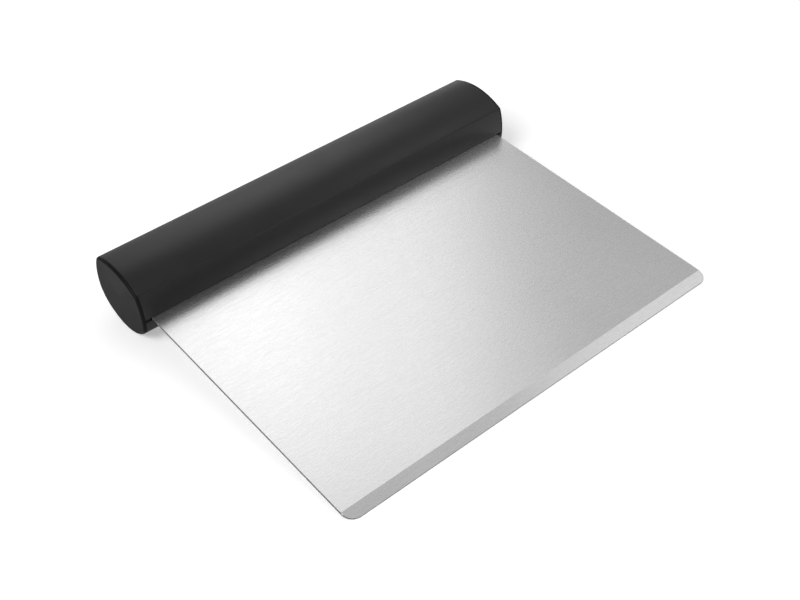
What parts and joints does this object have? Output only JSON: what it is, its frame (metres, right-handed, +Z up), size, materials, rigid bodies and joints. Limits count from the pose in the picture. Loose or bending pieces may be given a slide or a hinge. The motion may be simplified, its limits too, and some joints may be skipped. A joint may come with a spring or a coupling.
{
  "type": "pan scraper",
  "caption": "Wide flat steel scraper blade with a ground edge, clamped in a black tubular handle of rounded, flat-fronted section with closed flat ends.",
  "frame": {"origin": "middle of the outline seen from above, on the surface that the scraper lies on", "axes": "+X along the handle, -Y towards the sharp edge, +Z up; the scraper lies tipped, on its sharp edge and the belly of its handle"},
  "size_m": [0.1568, 0.1294, 0.0252],
  "materials": {
    "blade_steel": "stainless sheet, fine brushed grain along the handle, ground bevel",
    "handle_plastic": "satin black moulded nylon with a very fine grain",
    "core_plastic": "grey moulded nylon, as moulded",
    "screw_steel": "plain stainless, turned"
  },
  "bodies": {
    "root": {"blade": "blade_steel", "handle_shell": "handle_plastic", "core_upper": "core_plastic", "core_lower": "core_plastic", "core_screws": "screw_steel", "end_cap_left": "handle_plastic", "end_cap_right": "handle_plastic"}
  },
  "joints": []
}
